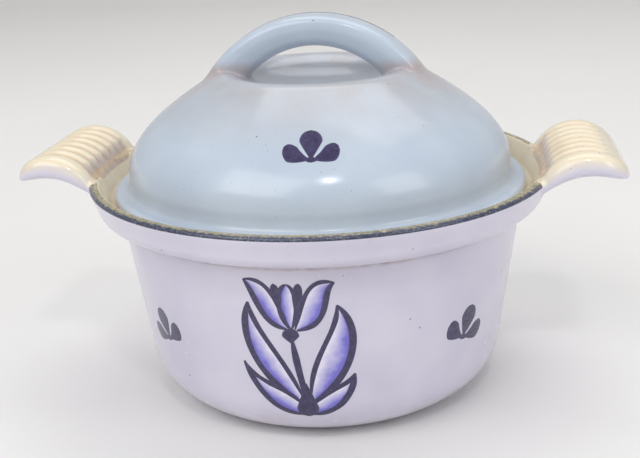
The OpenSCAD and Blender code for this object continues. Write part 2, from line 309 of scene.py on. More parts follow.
def lug_distance(points):
    """Outside the lug on the +X side by how much: top, plan and hollow, with their edges rounded."""
    x, y, z = points.T
    top = np.hypot(x - lug_x, z - top_z) - top_r + rib_dent(points)
    under = hollow_r - np.hypot(x - hollow_x, z - hollow_z)
    qx = x - (lug_tip + tip_allowance - tip_round)
    qy = np.abs(y) - (lug_half - tip_round)
    past_corner = np.hypot(np.maximum(qx, 0), np.maximum(qy, 0))
    plan = past_corner + np.minimum(np.maximum(qx, qy), 0) - tip_round
    body = meet(meet(top, plan, upper_edge), under, lower_edge)
    root = rim_in + 1.6 - np.hypot(x, y)
    return np.maximum(body, root)


lug_skin = slope_of(lug_distance)
pot_with_lug = melt(lambda p: pot_skin(p)[:2], lug_skin, lug_soft)
probe = np.array([[lug_x, rib_rows + 4.0, lug_crest - crest_t / 2]])
print("lug thickness at its crest:", round(float(-2 * lug_distance(probe)[0]), 1))

# %% [markdown]
# The bridge is an arch over the finger well. Its top is flat, its front and back faces lean in
# towards a narrower underside, and it meets the dome in a small fillet.

# %% The bridge
arch_r, hole_r, bridge_t = 58.5, 39.5, 13.5
arch_z = bridge_top - arch_r
hole_z = bridge_top - bridge_t - hole_r
bridge_half, under_half, bevel_h = 10.5, 6.5, 7
top_edge, side_edge, hole_edge = 6, 4, 4
bridge_soft = 2


def bridge_distance(points):
    x, y, z = points.T
    over = np.hypot(x, z - arch_z) - arch_r
    under = hole_r - np.hypot(x, z - hole_z)
    side = np.abs(y) - bridge_half
    run, rise = bevel_h, bridge_half - under_half
    bevel = ((np.abs(y) - under_half) * run + under * rise) / np.hypot(run, rise)
    return meet(meet(meet(over, side, top_edge), bevel, side_edge), under, hole_edge)


bridge_skin = slope_of(bridge_distance)
lid_with_bridge = melt(lambda p: lid_top_skin(p)[:2], bridge_skin, bridge_soft)
print(f"bridge: arch centre {arch_z:.1f}, hole centre {hole_z:.1f}")

# %% [markdown]
# Skins become meshes in two ways. Plain turned parts are a lathe grid, which wastes nothing.
# Parts with fillets come from a search: step through a block of small cells, put a corner wherever
# the skin passes through a cell, join neighbours, and slide every corner exactly onto the skin.

# %% Making skin meshes
def lathe(path, steps=240):
    """A grid turned round the axis: points, triangles, directions and place along the profile."""
    out, run = outward(path), along(path)
    turn = np.radians(np.linspace(0, 360, steps + 1))[:steps]
    c, s = np.cos(turn), np.sin(turn)
    grid = np.stack([path[:, :1] * c, path[:, :1] * s, np.repeat(path[:, 1:], len(turn), 1)], 2)
    normal = np.stack([out[:, :1] * c, out[:, :1] * s, np.repeat(out[:, 1:], len(turn), 1)], 2)
    i, j = np.meshgrid(np.arange(len(path) - 1), np.arange(steps), indexing="ij")
    k = (j + 1) % steps
    quads = np.stack([i * steps + j, i * steps + k,
                      (i + 1) * steps + k, (i + 1) * steps + j], 2).reshape(-1, 4)
    number = np.arange(len(path) * steps)
    pole = np.repeat(path[:, 0] < 1e-6, steps)
    first = np.where(pole, number // steps * steps, number)
    return tidy(grid.reshape(-1, 3), halved(first[quads]), normal.reshape(-1, 3),
                {"run": np.repeat(run, steps)})


def halved(quads):
    """Two triangles for each quad, without those that have shrunk to a line at a pole."""
    tris = np.vstack([quads[:, [0, 1, 2]], quads[:, [0, 2, 3]]])
    good = (tris[:, 0] != tris[:, 1]) & (tris[:, 1] != tris[:, 2]) & (tris[:, 0] != tris[:, 2])
    return tris[good]


def tidy(points, tris, normals, marks):
    """Drops unused corners and turns every triangle to face out."""
    used, new = np.unique(tris, return_inverse=True)
    tris = new.reshape(-1, 3)
    points, normals = points[used], normals[used]
    a, b, c = (points[tris[:, i]] for i in range(3))
    facing = (np.cross(b - a, c - a) * normals[tris].sum(1)).sum(1) < 0
    tris[facing] = tris[facing][:, ::-1]
    marks = {k: v[used] for k, v in marks.items()}
    return {"points": points, "tris": tris, "normals": normals, "marks": marks}


def searched(skin, low, high, step, slides=4, coarse=4):
    """The skin inside a block, found cell by cell near where a coarse first look says it is."""
    axes = [np.arange(low[i], high[i] + step, step) for i in range(3)]
    shape = tuple(len(a) for a in axes)
    nodes = np.stack(np.meshgrid(*axes, indexing="ij"), -1)
    few = nodes[::coarse, ::coarse, ::coarse]
    rough = skin(few.reshape(-1, 3))[0].reshape(few.shape[:3])
    nearest = np.ix_(*(np.minimum((np.arange(n) + coarse // 2) // coarse, (n - 1) // coarse)
                       for n in shape))
    value = rough[nearest]
    close = np.abs(value) < (coarse + 0.5) * step
    value[close] = skin(nodes[close])[0]
    inside = value < 0
    total = np.zeros(tuple(n - 1 for n in shape) + (3,))
    count = np.zeros(total.shape[:3])
    edges = []
    for axis in range(3):
        a, b = [slice(None)] * 3, [slice(None)] * 3
        a[axis], b[axis] = slice(0, -1), slice(1, None)
        cut = inside[tuple(a)] != inside[tuple(b)]
        va, vb = value[tuple(a)], value[tuple(b)]
        share = np.where(cut, va / np.where(cut, va - vb, 1), 0)
        place = nodes[tuple(a)].copy()
        place[..., axis] += share * step
        edges.append((axis, cut))
        others = [i for i in range(3) if i != axis]
        for p in (0, 1):
            for q in (0, 1):
                pick = [slice(None)] * 3
                pick[others[0]] = slice(p, shape[others[0]] - 1 + p)
                pick[others[1]] = slice(q, shape[others[1]] - 1 + q)
                total += place[tuple(pick)] * cut[tuple(pick)][..., None]
                count += cut[tuple(pick)]
    live = count > 0
    number = np.full(live.shape, -1)
    number[live] = np.arange(live.sum())
    points = total[live] / count[live][:, None]
    quads = []
    for axis, cut in edges:
        u, v = [(1, 2), (2, 0), (0, 1)][axis]
        at = np.argwhere(cut)
        keep = (at[:, u] > 0) & (at[:, v] > 0) & (at[:, u] < shape[u] - 1) & (at[:, v] < shape[v] - 1)
        at = at[keep]
        ring = []
        for du, dv in ((1, 1), (0, 1), (0, 0), (1, 0)):
            cell = at.copy()
            cell[:, u] -= du
            cell[:, v] -= dv
            ring.append(number[cell[:, 0], cell[:, 1], cell[:, 2]])
        quads.append(np.stack(ring, 1))
    quads = np.vstack(quads)
    for _ in range(slides):
        d, n = skin(points)[:2]
        points = points - np.clip(d, -step, step)[:, None] * n
    return tidy(points, halved(quads), skin(points)[1], {})


def keep_below(mesh, level):
    """The part of a mesh where level is under zero, cut cleanly along the line where it is zero."""
    g = np.where(np.abs(level) < 1e-5, 1e-5, level)
    tris, points = mesh["tris"], mesh["points"]
    side = g[tris] < 0
    full = tris[side.all(1)]
    mixed = tris[side.any(1) & ~side.all(1)]
    lone_in = (g[mixed] < 0).sum(1) == 1
    lone = np.where(lone_in, (g[mixed] < 0).argmax(1), (g[mixed] >= 0).argmax(1))
    rows = np.arange(len(mixed))
    a, b, c = (mixed[rows, (lone + i) % 3] for i in range(3))
    ends = np.concatenate([np.stack([a, b], 1), np.stack([a, c], 1)])
    pairs, where = np.unique(np.sort(ends, 1), axis=0, return_inverse=True)
    where = where.reshape(-1) + len(points)
    share = g[pairs[:, 0]] / (g[pairs[:, 0]] - g[pairs[:, 1]])

    def mix(values):
        s = share if values.ndim == 1 else share[:, None]
        return np.concatenate([values, values[pairs[:, 0]] * (1 - s) + values[pairs[:, 1]] * s])

    ab, ac = where[:len(mixed)], where[len(mixed):]
    cut = [np.stack([a, ab, ac], 1)[lone_in],
           np.stack([ab, b, c], 1)[~lone_in], np.stack([ab, c, ac], 1)[~lone_in]]
    normals = mix(mesh["normals"])
    normals /= np.linalg.norm(normals, axis=1)[:, None]
    marks = {k: mix(v) for k, v in mesh["marks"].items()}
    return tidy(mix(points), np.vstack([full] + cut), normals, marks)


trial = lathe(pot_outside, steps=12)
print("a coarse lathe grid:", len(trial["points"]), "points,", len(trial["tris"]), "triangles")

# %% [markdown]
# The pot's skin is now made in parts: the plain wall, rim and lining on the lathe grid, with a window
# left open round each lug, and the two lugs with their fillets found by the search.
# Both use the same distances, so they meet in the same line.

# %% The pot's skin in parts
coat_t, line_stop = 0.4, lug_half + 0.3
past_fillet = 1.02
round_steps, lug_cell, margin = 288, 0.75, 6


def lug_window(points):
    """Above zero inside the patch where a lug's fillet changes the pot's skin."""
    right = points.copy()
    right[:, 0] = np.abs(right[:, 0])
    return past_fillet * lug_soft - lug_skin(right)[0]


pot_grid = lathe(pot_path, round_steps)
near_rim = pot_grid["points"][:, 2] > collar_z - margin - 2
window = np.full(len(near_rim), -1.0)
window[near_rim] = lug_window(pot_grid["points"][near_rim])
pot_open = keep_below(pot_grid, window)

lug_low_corner = (92, -lug_half - margin, collar_z - margin)
lug_high_corner = (lug_tip + 2, lug_half + margin, lug_crest + 2)
lug_patch = searched(pot_with_lug, lug_low_corner, lug_high_corner, lug_cell)
lug_patch = keep_below(lug_patch, -lug_window(lug_patch["points"]))
lug_patch["marks"]["run"] = pot_skin(lug_patch["points"])[2]
print("open pot:", len(pot_open["tris"]), "triangles; one lug:", len(lug_patch["tris"]))


def beside_lug(mesh):
    return line_stop - np.abs(mesh["points"][:, 1])


def between(mesh, start, stop):
    """The strip of a mesh from one place along the profile to another."""
    mesh = keep_below(mesh, start - mesh["marks"]["run"])
    return keep_below(mesh, mesh["marks"]["run"] - stop)


lug_shape = keep_below(lug_patch, -beside_lug(lug_patch))
side_patch = keep_below(lug_patch, beside_lug(lug_patch))


def half_turned(mesh):
    """The same mesh on the other side of the pot."""
    spin = np.array([-1, -1, 1.0])
    return {**mesh, "points": mesh["points"] * spin, "normals": mesh["normals"] * spin}


def together(*meshes):
    """Several meshes as one."""
    start, tris = 0, []
    for m in meshes:
        tris.append(m["tris"] + start)
        start += len(m["points"])
    marks = {k: np.concatenate([m["marks"][k] for m in meshes]) for k in meshes[0]["marks"]}
    return {"points": np.vstack([m["points"] for m in meshes]), "tris": np.vstack(tris),
            "normals": np.vstack([m["normals"] for m in meshes]), "marks": marks}


pot_rest = together(pot_open, side_patch, half_turned(side_patch))
outer_skin = between(pot_rest, -1, line_from)
rim_skin = between(pot_rest, line_from, line_to)
inner_skin = between(pot_rest, line_to, 1e4)
for name, mesh in (("outer", outer_skin), ("rim", rim_skin),
                   ("inner", inner_skin), ("lug", lug_shape)):
    print(name, len(mesh["tris"]), "triangles")

# %% [markdown]
# The lid is parted the same way: a turned dome with a window left open where the bridge grows out of it,
# the bridge with its fillets found by the search, and the turned underside.

# %% The lid's skin in parts
def bridge_window(points):
    """Above zero where the bridge's fillet changes the dome's skin."""
    return past_fillet * bridge_soft - bridge_skin(points)[0]


bridge_cell = 1.0
dome_grid = lathe(lid_outside, round_steps)
dome_open = keep_below(dome_grid, bridge_window(dome_grid["points"]))
bridge_low = (-arch_r - 8, -bridge_half - 9, crown_z - 30)
bridge_high = (arch_r + 8, bridge_half + 9, bridge_top + 2)
bridge_patch = searched(lid_with_bridge, bridge_low, bridge_high, bridge_cell)
bridge_patch = keep_below(bridge_patch, -bridge_window(bridge_patch["points"]))
bridge_patch["marks"]["run"] = lid_top_skin(bridge_patch["points"])[2]
lid_over = together(dome_open, bridge_patch)
lid_inside = lathe(lid_under)
print("lid over:", len(lid_over["tris"]), "triangles, under:", len(lid_inside["tris"]))

# %% [markdown]
# A coat of enamel is glass about 0.4 mm thick that lies on the iron. Each coat is a closed shell of its own:
# the outer face is the skin, the inner face lies one coat deeper, and a narrow wall closes the rim between
# them.
# A Solidify modifier could do it, but here each corner also keeps the exact direction of the real surface.

# %% Turning skins into Blender pieces
def mesh_object(name, points, tris, normals, marks):
    mesh = bpy.data.meshes.new(name)
    mesh.vertices.add(len(points))
    mesh.vertices.foreach_set("co", (np.asarray(points) * MM).astype(np.float32).ravel())
    mesh.loops.add(tris.size)
    mesh.loops.foreach_set("vertex_index", tris.astype(np.int32).ravel())
    mesh.polygons.add(len(tris))
    mesh.polygons.foreach_set("loop_start", np.arange(0, tris.size, 3, dtype=np.int32))
    mesh.polygons.foreach_set("loop_total", np.full(len(tris), 3, np.int32))
    mesh.update(calc_edges=True)
    for key, values in marks.items():
        mark = mesh.attributes.new(key, "FLOAT", "POINT")
        mark.data.foreach_set("value", np.asarray(values, np.float32))
    mesh.shade_smooth()
    mesh.normals_split_custom_set_from_vertices(normals)
    thing = bpy.data.objects.new(name, mesh)
    bpy.context.scene.collection.objects.link(thing)
    return thing


def open_edges(tris):
    """Edges that belong to one triangle only, in the order that triangle walks them."""
    walked = np.vstack([tris[:, [0, 1]], tris[:, [1, 2]], tris[:, [2, 0]]])
    _, where, count = np.unique(np.sort(walked, 1), axis=0, return_inverse=True, return_counts=True)
    return walked[count[where.reshape(-1)] == 1]


def shell(name, mesh, thick, lift=0.0):
    """A closed layer on a skin: lift above it, thick below that."""
    n = len(mesh["points"])
    outer = mesh["points"] + lift * mesh["normals"]
    inner = outer - thick * mesh["normals"]
    rim = open_edges(mesh["tris"])
    a, b = rim[:, 0], rim[:, 1]
    walls = np.vstack([np.stack([b, a, a + n], 1), np.stack([b, a + n, b + n], 1)])
    tris = np.vstack([mesh["tris"], mesh["tris"][:, ::-1] + n, walls])
    normals = np.vstack([mesh["normals"], -mesh["normals"]])
    marks = {k: np.concatenate([v, v]) for k, v in mesh["marks"].items()}
    return mesh_object(name, np.vstack([outer, inner]), tris, normals, marks)


def settle_in(thing, body, node):
    """Puts a piece on its body and hides the plain frame part it stands for."""
    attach(thing, body)
    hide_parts(node)
    print(f"{thing.name}: {len(thing.data.polygons)} triangles")

# %% [markdown]
# First the iron itself. Sand-cast iron shows only at the foot ring, which is ground bare so that
# the pot stands flat. The rest is covered, but it is built whole, because a casting is what the pot is.

# %% The two iron castings
def deeper(path, by):
    """The profile moved into the metal; points on the axis stay on it."""
    moved = path - by * outward(path)
    moved[path[:, 0] < 1e-6, 0] = 0
    return moved


ring_in, ring_edge = foot_r - foot_w, 0.25
ring_top = base_z + coat_t
under_coat = coat_t + 0.05
lug_core_cell, arch_core_cell = 1.2, 1.5
foot_ring = np.vstack([
    [[0, ring_top], [ring_in, ring_top]],
    arc((ring_in + ring_edge, ring_edge), ring_edge, 180, 270, 3),
    arc((foot_r - ring_edge, ring_edge), ring_edge, 270, 360, 3),
    [[foot_r, ring_top]]])
iron_pot = lathe(np.vstack([foot_ring, deeper(pot_path, under_coat)]))


def lug_core(points):
    d, n = lug_skin(points)
    return d + under_coat, n


right_core = searched(lug_core, lug_low_corner, lug_high_corner, lug_core_cell)
iron_pot["marks"], right_core["marks"] = {}, {}
pot_casting = mesh_object("cast_iron_pot", **together(iron_pot, right_core, half_turned(right_core)))
settle_in(pot_casting, "pot", "pot_casting")


def bridge_core(points):
    """The bridge's iron, which ends halfway through the dome's wall."""
    d, n = bridge_skin(points)
    depth, down = lid_top_skin(points)[:2]
    cut = -depth - lid_t / 2
    body = d + under_coat
    return np.maximum(body, cut), np.where((body > cut)[:, None], n, -down)


iron_lid = lathe(np.vstack([deeper(lid_under, under_coat), deeper(lid_outside, under_coat)]))
arch_core = searched(bridge_core, bridge_low, bridge_high, arch_core_cell)
iron_lid["marks"], arch_core["marks"] = {}, {}
lid_casting = mesh_object("cast_iron_lid", **together(iron_lid, arch_core))
settle_in(lid_casting, "lid", "lid_casting")

# %% [markdown]
# Now the coats. Each gets marks on its corners for the finish to read later, such as how deep it lies in a
# flute, how far it faces down, and how near it is to the foot of the bridge, where the finish turns browner.

# %% The coats of enamel
def add_marks(mesh, **rules):
    for key, values in rules.items():
        mesh["marks"][key] = values
    return mesh


up = lug_shape["normals"][:, 2]
lug_shape = add_marks(lug_shape,
                      hollow=rib_dent(lug_shape["points"]) / rib_rise,
                      under=1 - smooth(up, -0.25, 0.75),
                      root=1 - smooth(np.hypot(*lug_shape["points"][:, :2].T), rim_r - 5, rim_r + 1.5))
right_lug = shell("right_lug_enamel_coat", lug_shape, coat_t)
settle_in(right_lug, "pot", "right_lug_enamel")
left_lug = shell("left_lug_enamel_coat", half_turned(lug_shape), coat_t)
settle_in(left_lug, "pot", "left_lug_enamel")

base_disc = lathe(evenly(np.array([[0, base_z], [ring_in, base_z]]), 6), 144)
pot_enamel = shell("wall_enamel_coat", together(outer_skin, base_disc), coat_t)
settle_in(pot_enamel, "pot", "pot_enamel")

rim_skin = add_marks(rim_skin, inward=(rim_skin["marks"]["run"] - line_from) / (line_to - line_from))
rim_line = shell("rim_line_paint", rim_skin, coat_t)
settle_in(rim_line, "pot", "rim_line")

# The seat mark covers the lining from the seat up to the rim, where shade is painted beside the lid.
inner_skin = add_marks(inner_skin, seat=smooth(inner_skin["points"][:, 2], seat_z - 2, seat_z + 2))
pot_lining = shell("pot_lining_coat", inner_skin, coat_t)
settle_in(pot_lining, "pot", "pot_lining")

foot_gap = np.maximum(lid_over["points"][:, 2] - crown_z, 0)
lid_over = add_marks(lid_over, bridge_foot=(1 - smooth(-bridge_window(lid_over["points"]), -5, 9))
                     * (1 - smooth(foot_gap, 2, 12))
                     * smooth(np.abs(lid_over["points"][:, 0]), 26, 36))
lid_enamel = shell("lid_enamel_coat", lid_over, coat_t)
settle_in(lid_enamel, "lid", "lid_enamel")
lid_lining = shell("lid_lining_coat", lid_inside, coat_t)
settle_in(lid_lining, "lid", "lid_lining")

# %% [markdown]
# The marks are painted by brush in dark and violet glass and fired on top of the coat.
# Image textures could carry them, but thin ribbons of real paint can be held, measured and moved.
# A brush stroke is a ribbon that swells and thins along a curve. A wash is a ladder of short rungs
# between two curves, and it remembers how far across each corner lies, so the colour can fade over it.

# %% Brush strokes and washes
brush_rng = np.random.default_rng(7)
paint_t, layer_step = 0.06, 0.004
line_lift, wash_lift = 0.04, 0.02


def stroke(path, width, start=0.35, end=0.35, swell=0.12, across=4):
    """A flat ribbon along a path, its ends tapered to a share of the width."""
    t = np.linspace(0, 1, len(path))
    taper = start + (1 - start) * np.sin(np.pi / 2 * np.clip(t / 0.22, 0, 1))
    taper *= end + (1 - end) * np.sin(np.pi / 2 * np.clip((1 - t) / 0.22, 0, 1))
    wobble = 1 + swell * np.interp(t, np.linspace(0, 1, 7), brush_rng.uniform(-1, 1, 7))
    side = outward(path)
    reach = (width / 2 * taper * wobble)[:, None, None]
    steps = np.linspace(-1, 1, across + 1)[None, :, None]
    return path[:, None] + side[:, None] * reach * steps


def ladder(one, two, rungs=8):
    """A flat patch between two paths with the same number of points."""
    steps = np.linspace(0, 1, rungs + 1)[None, :, None]
    return one[:, None] * (1 - steps) + two[:, None] * steps


def petal(foot, tip, width, bend=0.0, rows=28, full_at=0.62):
    """A round-ended petal from its foot to its tip."""
    foot, tip = np.array(foot, float), np.array(tip, float)
    t = np.linspace(0.02, 1, rows)
    way = tip - foot
    left = np.array([-way[1], way[0]]) / np.hypot(*way)
    middle = foot + way * t[:, None] + left * (bend * np.sin(np.pi * t))[:, None]
    rise = np.clip(t / full_at, 0, 1)
    drop = np.clip((t - full_at) / (1 - full_at), 0, 1)
    round_end = np.sqrt(np.maximum(1 - drop**2, 1e-4))
    half = width / 2 * np.where(t < full_at, rise**1.15 * (1.35 - 0.35 * rise), round_end)
    return ladder(middle - left * half[:, None], middle + left * half[:, None])


def on_wall(flat, turn=0.0):
    """A drawing held upright in front of the wall and pressed straight back onto it."""
    u, z = flat[..., 0], flat[..., 1]
    r = wall_r(z)
    y = -np.sqrt(np.maximum(r**2 - u**2, 1))
    c, s = np.cos(np.radians(turn)), np.sin(np.radians(turn))
    return np.stack([c * u - s * y, s * u + c * y, z], -1)


def laid_on(skin, grid):
    """A grid of points pressed onto a skin, as a mesh."""
    rows, cols = grid.shape[:2]
    points = grid.reshape(-1, 3)
    for _ in range(3):
        d, n = skin(points)[:2]
        points = points - d[:, None] * n
    i, j = np.meshgrid(np.arange(rows - 1), np.arange(cols - 1), indexing="ij")
    a = (i * cols + j).ravel()
    quads = np.stack([a, a + 1, a + cols + 1, a + cols], 1)
    across = np.tile(np.linspace(0, 1, cols), rows)
    return tidy(points, halved(quads), skin(points)[1], {"wash": across})


def painted_in_turn(meshes):
    """The marks as one mesh, each a hair above the one before, as wet strokes lie over dry ones."""
    return together(*[{**m, "points": m["points"] + layer_step * i * m["normals"]}
                      for i, m in enumerate(meshes)])

# %% [markdown]
# The flower on the front is a generic tulip: three petals that open like a cup, two small dark petals
# behind, a round bead, a stem, two long leaves and two low ones that all spring from one dark foot.

# %% The flower
flower_turn = 2.3
# A row for each leaf and petal: left side, right side, steps along them, width of its line
leaf_rows = [
    (((-21.6, 68.5), (-26.5, 55), (-23, 36), (-3, 23)),
     ((-21.6, 68.5), (-20.5, 56), (-9, 45), (-2.2, 25)), 44, 2.5),
    (((13.6, 67.5), (24, 57), (20, 34), (2.2, 23)),
     ((13.6, 67.5), (14.5, 56), (2, 45), (1.4, 26)), 44, 2.5),
    (((-25.5, 40.5), (-21, 27), (-14, 17), (-2, 15.8)),
     ((-25.5, 40.5), (-21, 30), (-10, 31), (-2.5, 21.5)), 40, 2.4),
    (((19.4, 35.5), (18.5, 25), (12, 16.5), (1.5, 15.8)),
     ((19.4, 35.5), (17, 29.5), (9, 29.5), (2.5, 21.5)), 40, 2.4),
    (((-22.5, 78.6), (-17.5, 71), (-17, 59), (-6.5, 57)),
     ((-22.5, 78.6), (-12, 80.5), (-9.5, 68), (-6, 57.5)), 36, 2.1),
    (((13.2, 77.5), (7, 74), (13, 59), (-2.5, 56.5)),
     ((13.2, 77.5), (2, 81), (0.5, 69), (-3.2, 57)), 36, 2.1),
    (((-4.9, 57), (-11, 64), (-9.5, 76), (-5.6, 77)),
     ((-4.6, 57), (-1.2, 64), (-1.6, 76), (-5.6, 77)), 32, 1.8)]
closed_shapes = [(pulled(*left, steps), pulled(*right, steps)) for left, right, steps, _ in leaf_rows]
strokes = [stroke(side, row[-1] * heavy)
           for pair, row in zip(closed_shapes, leaf_rows)
           for side, heavy in zip(pair, (1.1, 0.9))]
stem = pulled((-4.7, 51.5), (-3.8, 43), (-2.4, 33), (-0.6, 25), 30)
strokes.append(stroke(stem, 2.7, start=0.5, end=1))
strokes += [petal((-8.4, 63), (-10.6, 77.4), 4.2, rows=20),
            petal((-2.8, 63), (-0.7, 77.6), 4.2, rows=20),
            petal((-5.1, 50.3), (-5.3, 57.4), 7.0, rows=18, full_at=0.5),
            petal((-0.3, 32), (-0.3, 14.6), 9.0, rows=24, full_at=0.7)]
flower_lines = painted_in_turn([laid_on(pot_skin, on_wall(flat, flower_turn)) for flat in strokes])
flower_outline = shell("flower_outline_paint", flower_lines, paint_t, lift=line_lift)
settle_in(flower_outline, "pot", "flower_outline")

washes = [ladder(a, b, 10) for a, b in closed_shapes]
flower_body = together(*[laid_on(pot_skin, on_wall(flat[1:-1], flower_turn)) for flat in washes])
flower_fill = shell("flower_wash_paint", flower_body, paint_t, lift=wash_lift)
settle_in(flower_fill, "pot", "flower_fill")

# %% [markdown]
# Small three-petalled sprigs stand left and right of the flower, one more on the lid's front slope,
# and a single dark line was drawn along the bridge, worn away at one end by many lifts.

# %% Sprigs and the bridge's line
def sprig(size=1.0, tilt=0.0):
    """Three petals on one small foot, drawn upright and then tilted."""
    parts = [petal((0, 0), (0, 15), 9.2),
             petal((0, 0.3), (-10.8, 6.8), 8.0, bend=1.6),
             petal((0, 0.3), (10.8, 6.8), 8.0, bend=-1.6),
             petal((0, 2.6), (0, -0.8), 4.6, rows=12)]
    c, s = np.cos(np.radians(tilt)), np.sin(np.radians(tilt))
    return [size * (p @ np.array([[c, s], [-s, c]])) for p in parts]


wall_sprig_z = 39.5
wall_sprig_parts = []
for turn, size, tilt in ((-44.5, 0.97, 16), (50.5, 1.0, -16)):
    upright = painted_in_turn([laid_on(pot_skin, on_wall(part + np.array([0, wall_sprig_z]), turn))
                               for part in sprig(size, tilt)])
    wall_sprig_parts.append(upright)
wall_sprigs = shell("wall_sprig_paint", together(*wall_sprig_parts), paint_t, lift=line_lift)
settle_in(wall_sprigs, "pot", "wall_sprigs")

dome_run = along(lid_outside)
lid_sprig_z, lid_sprig_turn = 122.2, 6.0
off_slope = lid_outside[:, 0] < well_r
sprig_run = dome_run[np.argmin(np.where(off_slope, np.inf, np.abs(lid_outside[:, 1] - lid_sprig_z)))]


def on_dome(flat, turn):
    """A drawing laid on the dome's slope, up being towards the crown."""
    run = sprig_run + flat[..., 1]
    r, z = (np.interp(run, dome_run, lid_outside[:, i]) for i in (0, 1))
    angle = np.radians(turn) + flat[..., 0] / r
    return np.stack([r * np.sin(angle), -r * np.cos(angle), z], -1)


lid_marks = [laid_on(lid_top_skin, on_dome(part, lid_sprig_turn)) for part in sprig(0.98)]
lid_sprig = shell("lid_sprig_paint", painted_in_turn(lid_marks), paint_t, lift=line_lift)
settle_in(lid_sprig, "lid", "lid_sprig")

line_y, line_half, ragged_by, knots = 5.0, 1.1, 0.25, 27
sweep = np.radians(np.linspace(-57, 37, 130))
line_edge = brush_rng.uniform(-1, 1, (2, knots))
rows, knot_at = np.linspace(0, 1, len(sweep)), np.linspace(0, 1, knots)
low_y = line_y - line_half + ragged_by * np.interp(rows, knot_at, line_edge[0])
high_y = line_y + line_half + ragged_by * np.interp(rows, knot_at, line_edge[1])
steps = np.linspace(0, 1, 5)[None]
flat_y = low_y[:, None] * (1 - steps) + high_y[:, None] * steps
line_x, line_z = (np.repeat(part[:, None], 5, 1)
                  for part in (arch_r * np.sin(sweep), arch_z + arch_r * np.cos(sweep)))
line_grid = np.stack([line_x, flat_y, line_z], -1)
bridge_line = shell("bridge_line_paint", laid_on(lid_with_bridge, line_grid), paint_t, lift=line_lift)
settle_in(bridge_line, "lid", "bridge_line")

# %% [markdown]
# ## Finishes
# Every finish is built from nodes on the object's own coordinates, so it stays put when the lid is lifted.
# `Finish` is a short way to place a node, set its plain values and join its wires in one line.

# %% A short way to write finishes
def tint(red, green, blue):
    """A colour as a paint chart gives it, 0 to 255, turned into the light values a shader wants."""
    c = np.array([red, green, blue]) / 255
    lin = np.where(c <= 0.04045, c / 12.92, ((c + 0.055) / 1.055)**2.4)
    return (*map(float, lin), 1.0)


class Finish:
    def __init__(self, name):
        self.material = bpy.data.materials.new(name)
        self.material.use_nodes = True
        self.tree = self.material.node_tree
        self.shader = self.tree.nodes["Principled BSDF"]
        self.place = self.add("ShaderNodeTexCoord").outputs["Object"]

    def add(self, kind, wires=None, **settings):
        node = self.tree.nodes.new(kind)
        for key, value in settings.items():
            setattr(node, key, value)
        for key, value in (wires or {}).items():
            if isinstance(value, bpy.types.NodeSocket):
                self.tree.links.new(value, node.inputs[key])
            else:
                node.inputs[key].default_value = value
        return node

    def grain(self, size_mm, detail=3.0, rough=0.55, warp=0.0):
        """Cloudy noise with lumps about size_mm across."""
        wires = {"Vector": self.place, "Scale": 1 / (size_mm * MM), "Detail": detail,
                 "Roughness": rough, "Distortion": warp}
        return self.add("ShaderNodeTexNoise", wires).outputs["Fac"]

    def band(self, value, low, high, start=0.0, end=1.0):
        """A value between low and high made to run from start to end, and held there beyond."""
        wires = {"Value": value, "From Min": low, "From Max": high, "To Min": start, "To Max": end}
        return self.add("ShaderNodeMapRange", wires, clamp=True).outputs["Result"]

    def sum(self, a, b, how="ADD"):
        return self.add("ShaderNodeMath", {0: a, 1: b}, operation=how).outputs[0]

    def blend(self, share, a, b, how="MIX"):
        wires = {"Factor": share, 6: a, 7: b}
        return self.add("ShaderNodeMix", wires, data_type="RGBA", blend_type=how).outputs[2]

    def mark(self, name):
        return self.add("ShaderNodeAttribute", attribute_name=name).outputs["Fac"]

    def relief(self, height, depth_mm, under=None):
        wires = {"Height": height, "Distance": depth_mm * MM, "Strength": 1.0}
        if under is not None:
            wires["Normal"] = under
        return self.add("ShaderNodeBump", wires).outputs["Normal"]

    def done(self, colour, roughness, normal, **plain):
        for key, value in (("Base Color", colour), ("Roughness", roughness), ("Normal", normal)):
            self.tree.links.new(value, self.shader.inputs[key])
        for key, value in plain.items():
            self.shader.inputs[key.replace("_", " ")].default_value = value
        return self.material

# %% [markdown]
# Enamel is coloured glass. It is never quite level: the surface has a soft orange peel, a few pin holes
# and dark specks of iron, faint cloudiness where the coat is thicker, and fine dulled patches from use.

# %% Enamel
def enamel(name, base, cloud, speck, gloss=(0.16, 0.3), extra=None):
    f = Finish(name)
    colour = f.blend(f.band(f.grain(38, 2), 0.35, 0.7), base, cloud)
    pits = f.add("ShaderNodeTexVoronoi", {"Vector": f.place, "Scale": 1 / (9 * MM)}).outputs["Distance"]
    pit = f.sum(f.band(pits, 0.035, 0.055, 1, 0), f.band(f.grain(14, 1), 0.52, 0.56), "MULTIPLY")
    fleck = f.sum(f.band(f.grain(0.9, 1.5), 0.735, 0.765),
                  f.band(f.grain(30, 1), 0.42, 0.6), "MULTIPLY")
    if extra:
        colour = extra(f, colour)
    colour = f.blend(f.sum(fleck, 0.55, "MULTIPLY"), colour, speck)
    colour = f.blend(f.sum(pit, 0.75, "MULTIPLY"), colour, speck)
    worn = f.sum(f.band(f.grain(6, 5, 0.7), 0.45, 0.72),
                 f.band(f.grain(55, 2), 0.4, 0.62), "MULTIPLY")
    rough = f.band(f.sum(f.band(f.grain(20, 3), 0.3, 0.75), worn), 0, 1.6, *gloss)
    peel = f.relief(f.grain(7, 1.5), 0.035)
    fine = f.relief(f.grain(1.6, 2), 0.006, peel)
    holes = f.relief(f.sum(pit, -1, "MULTIPLY"), 0.08, fine)
    return f.done(colour, rough, holes, IOR=1.5, Coat_Weight=0.12, Coat_Roughness=0.05)


wall_white, wall_cloud = tint(213, 209, 224), tint(202, 198, 216)
lid_blue, lid_cloud = tint(188, 200, 214), tint(178, 190, 206)
cream, cream_cloud, tan = tint(236, 225, 201), tint(229, 215, 188), tint(180, 146, 112)
speck = tint(74, 60, 52)


